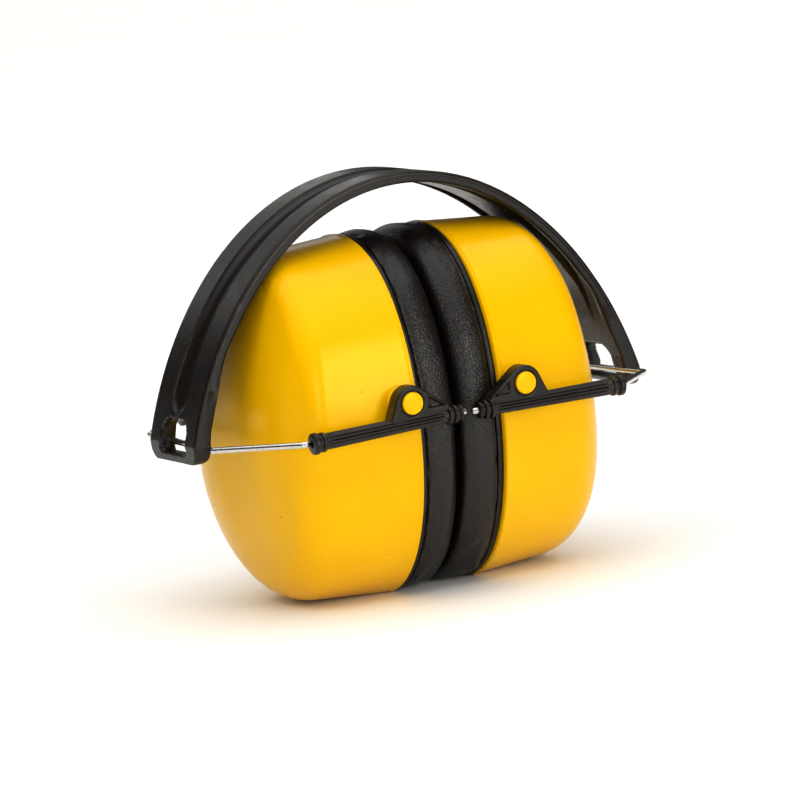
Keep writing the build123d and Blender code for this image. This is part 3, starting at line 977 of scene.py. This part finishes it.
def lug():
    """The eye round the stud, with its web to the sleeve and a small sunk triangle in the web."""
    count = 144
    angles = np.arange(count) * 2 * math.pi / count
    soft = np.array([lug_reach(a) for a in angles])
    for _ in range(3):
        soft = (np.roll(soft, 1) + 2 * soft + np.roll(soft, -1)) / 4

    def ring(radius, y):
        x = PIVOT_X + np.cos(angles) * radius
        z = PIVOT_Z + np.sin(angles) * radius
        return np.stack([x, np.broadcast_to(y, x.shape), z], 1)

    rings = [ring(EYE_BORE, -EYE_NEAR), ring(soft - 0.4, -EYE_NEAR), ring(soft, -EYE_NEAR - 0.4)]
    rings.append(ring(soft, -EYE_FAR + LUG_ROUND))
    for a in (0.3, 0.7, 1.1, math.pi / 2):
        rings.append(ring(soft - LUG_ROUND * (1 - math.cos(a)), -EYE_FAR + LUG_ROUND * (1 - math.sin(a))))
    pocket_start, pocket_end, pocket_rise = WEB_POCKET
    for share in np.linspace(0.08, 1.0, 14):
        radius = (soft - LUG_ROUND) * (1 - share) + HEAD_SEAT * share
        x = PIVOT_X + np.cos(angles) * radius
        z = PIVOT_Z + np.sin(angles) * radius
        # The pocket is a triangle with one side along the sleeve and one upright
        rise = z - (HINGE_Z + pocket_rise)
        slope = (x - pocket_start) * 0.55 - rise * 0.83
        inside = np.minimum.reduce([pocket_end - x, rise, slope])
        rings.append(ring(radius, -EYE_FAR + WEB_POCKET_DEPTH * smoothstep(inside / 0.5)))
    rings += [ring(3.5, -EYE_FAR + 0.12), ring(3.4, -EYE_FAR + 0.35)]
    rings += [ring(3.38, -EYE_FAR + 0.85), ring(EYE_BORE, -EYE_FAR + 0.86)]
    return loft(rings, closed_loop=True)


def arm(droop):
    """Sleeve and lug in one piece, tilted about the stud so that the outer end hangs by droop."""
    points, faces = merge(sleeve(), lug())
    points = np.array(points, float)
    points[:, 2] -= droop * (points[:, 0] - PIVOT_X) / (ARM_OUTER - PIVOT_X)
    return points.tolist(), faces


def stud():
    """The yellow button: a domed head, the journal in the eye, and the shank pressed into the cup."""
    dome = [(9.62 - 0.12 * (r / 2.6) ** 2, r) for r in (0.02, 0.9, 1.8, 2.5)]
    head = [(9.42, 2.8), (9.30, 2.97), (9.1, 3.05), (8.35, 3.05), (8.2, 2.95), (8.2, 2.4)]
    shank = [(4.05, 2.4), (4.0, 1.9), (0.3, 1.9), (0.0, 1.6), (0.0, 0.02)]
    return revolve(dome + head + shank, (PIVOT_X, -STUD_TIP_Y, PIVOT_Z), (0, -1, 0), 72)


# ---------------------------------------------------------------- assembly


def attach(obj, body, slot, *nodes):
    """Says which body a piece moves with, and hides the CAD nodes that it stands for. The slot argument is
    not used.
    """
    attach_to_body(obj, body)
    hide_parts(*nodes)


def build():
    band = mesh_object("head_band", *headband(), BLACK)
    attach(band, "headband", "frame_plastic", "headband")
    shell, ring, fork = cup_shell(), seat_ring(), wire_fork()
    # The left side's arms are the right side's turned about Z, so its front arm is the right rear one
    stems = {1: arm(FRONT_DROOP), -1: arm(REAR_DROOP)}
    button = stud()
    core = ring_section(cushion_profile(1.2), 120, CUSHION_OUTER, CUSHION_OPENING)
    for side, sign in SIDES.items():
        cup = mesh_object(f"{side}_cup", *shell, YELLOW, (sign, 1))
        attach(cup, f"{side}_cup", "cup_plastic", f"{side}_cup_shell")
        seat = mesh_object(f"{side}_ring", *ring, BLACK, (sign, 1))
        attach(seat, f"{side}_cup", "frame_plastic", f"{side}_seat_ring")
        liner = mesh_object(
            f"{side}_foam_liner", *acoustic_foam(Vector((sign * 5.0, 0, 0))), FOAM, (sign, 1), 60
        )
        attach(liner, f"{side}_cup", "foam", f"{side}_acoustic_foam")
        filling = mesh_object(f"{side}_cushion_core", *core, FOAM, (sign, 1), 60)
        attach(filling, f"{side}_cup", "foam", f"{side}_cushion_foam")
        cushion = make_cushion(side)
        attach(cushion, f"{side}_cup", "cushion_vinyl", f"{side}_cushion_cover")
        wire = mesh_object(f"{side}_wire", *fork, STEEL, (sign, sign))
        attach(wire, f"{side}_fork", "spring_steel", f"{side}_wire_fork")
        for face, facing in FACES.items():
            stem = mesh_object(f"{side}_{face}_sleeve", *stems[sign * facing], BLACK, (sign, facing))
            attach(stem, f"{side}_arms", "frame_plastic", f"{side}_{face}_arm")
            knob = mesh_object(f"{side}_{face}_button", *button, YELLOW, (sign, facing))
            attach(knob, f"{side}_cup", "cup_plastic", f"{side}_{face}_pivot_stud")


# ---------------------------------------------------------------- stage, lights and camera


def floor():
    surface = Surface("floor_paper", Specular_IOR_Level=0.1)
    tone = surface.mix(surface.ramp(surface.noise(90, 2), 0.3, 0.7), (0.94, 0.94, 0.94), (0.95, 0.95, 0.95))
    material = surface.done(tone, surface.ramp(surface.noise(20, 2), 0.3, 0.7, 0.8, 0.9))
    points = [(-4000, -4000, 0), (4000, -4000, 0), (4000, 4000, 0), (-4000, 4000, 0)]
    mesh_object("floor", points, [(0, 1, 2, 3)], material)


def area_light(name, spot, aim, size, power, colour, glossy=True):
    data = bpy.data.lights.new(name, "AREA")
    data.shape = "RECTANGLE"
    data.size, data.size_y = size
    data.energy = power
    data.color = colour
    light = bpy.data.objects.new(name, data)
    light.location = spot
    light.rotation_euler = (Vector(aim) - Vector(spot)).to_track_quat("-Z", "Y").to_euler()
    light.visible_glossy = glossy
    bpy.context.scene.collection.objects.link(light)


def sun_light(name, toward, strength, angle, colour):
    """A wide soft sun that doesn't show in reflections."""
    data = bpy.data.lights.new(name, "SUN")
    data.energy = strength
    data.angle = math.radians(angle)
    data.color = colour
    light = bpy.data.objects.new(name, data)
    light.rotation_euler = Vector(toward).to_track_quat("Z", "Y").to_euler()
    light.visible_glossy = False
    bpy.context.scene.collection.objects.link(light)


def studio():
    """Soft lights in front, a rim light behind, two soft suns, and a bright ceiling over a dim room."""
    centre = (0, 0, 0.05)
    area_light("key", (0.41, -1.38, 0.42), centre, (0.40, 0.76), 6.4, (1.0, 0.98, 0.93))
    area_light("front", (-0.78, -1.20, 0.32), centre, (0.55, 0.60), 3.0, (1.0, 0.95, 0.88))
    area_light("rim", (0.10, 1.30, 0.52), centre, (1.0, 0.30), 1.2, (1.0, 0.99, 0.97))
    area_light("wash", (0.1, -1.5, 0.24), centre, (1.4, 0.44), 3.4, (1.0, 0.98, 0.95), glossy=False)
    sun_light("right_sun", (0.62, -0.42, 0.66), 0.28, 45, (1.0, 0.98, 0.96))
    sun_light("left_sun", (-0.70, -0.20, 0.68), 0.60, 40, (1.0, 0.89, 0.70))
    world = bpy.data.worlds.new("studio")
    bpy.context.scene.world = world
    world.use_nodes = True
    tree = world.node_tree
    nodes, links = tree.nodes, tree.links
    split = nodes.new("ShaderNodeSeparateXYZ")
    links.new(nodes.new("ShaderNodeTexCoord").outputs["Generated"], split.inputs["Vector"])

    def glow(axis, start, end, strength):
        """Nothing at start and full strength at end, which may be the smaller of the two."""
        node = nodes.new("ShaderNodeMapRange")
        node.interpolation_type = "SMOOTHSTEP"
        node.inputs["From Min"].default_value = min(start, end)
        node.inputs["From Max"].default_value = max(start, end)
        node.inputs["To Min"].default_value = strength if start > end else 0.0
        node.inputs["To Max"].default_value = 0.0 if start > end else strength
        links.new(split.outputs[axis], node.inputs["Value"])
        return node.outputs["Result"]

    ceiling = glow("Z", 0.55, 0.88, 1.75)
    horizon, behind = glow("Z", 0.17, 0.04, 0.25), glow("Y", 0.1, 0.6, 1.0)
    front = glow("Y", -0.3, -0.9, 0.28)
    everywhere = 0.06
    total = math_node(tree, "ADD", ceiling, math_node(tree, "MULTIPLY", horizon, behind))
    for share in (front, everywhere):
        total = math_node(tree, "ADD", total, share)
    background = nodes["Background"]
    background.inputs["Color"].default_value = (1.0, 0.99, 0.97, 1.0)
    links.new(total, background.inputs["Strength"])
    bpy.context.scene.view_settings.view_transform = "Standard"
    bpy.context.scene.view_settings.gamma = 0.87


def camera():
    """A long lens from the front left, a little above, rolled as the picture is."""
    azimuth, elevation, roll = (math.radians(a) for a in (-26.607, 8.356, -6.264))
    distance, across, above = 1386.1, 0.367, 1.722
    level_part = math.cos(elevation)
    back = Vector((math.sin(azimuth) * level_part, -math.cos(azimuth) * level_part, math.sin(elevation)))
    level = Vector((math.cos(azimuth), math.sin(azimuth), 0))
    upright = back.cross(level)
    right = level * math.cos(roll) + upright * math.sin(roll)
    up = upright * math.cos(roll) - level * math.sin(roll)
    data = bpy.data.cameras.new("camera")
    data.lens = 225
    data.sensor_width = 36
    data.clip_end = 50
    view = bpy.data.objects.new("camera", data)
    bpy.context.scene.collection.objects.link(view)
    spot = (right * across + up * above + back * distance + Vector((0, 0, CUP_Z))) * MM
    turn = Matrix((right, up, back)).transposed().to_4x4()
    view.matrix_world = Matrix.Translation(spot) @ turn
    bpy.context.scene.camera = view


build()
floor()
studio()
camera()
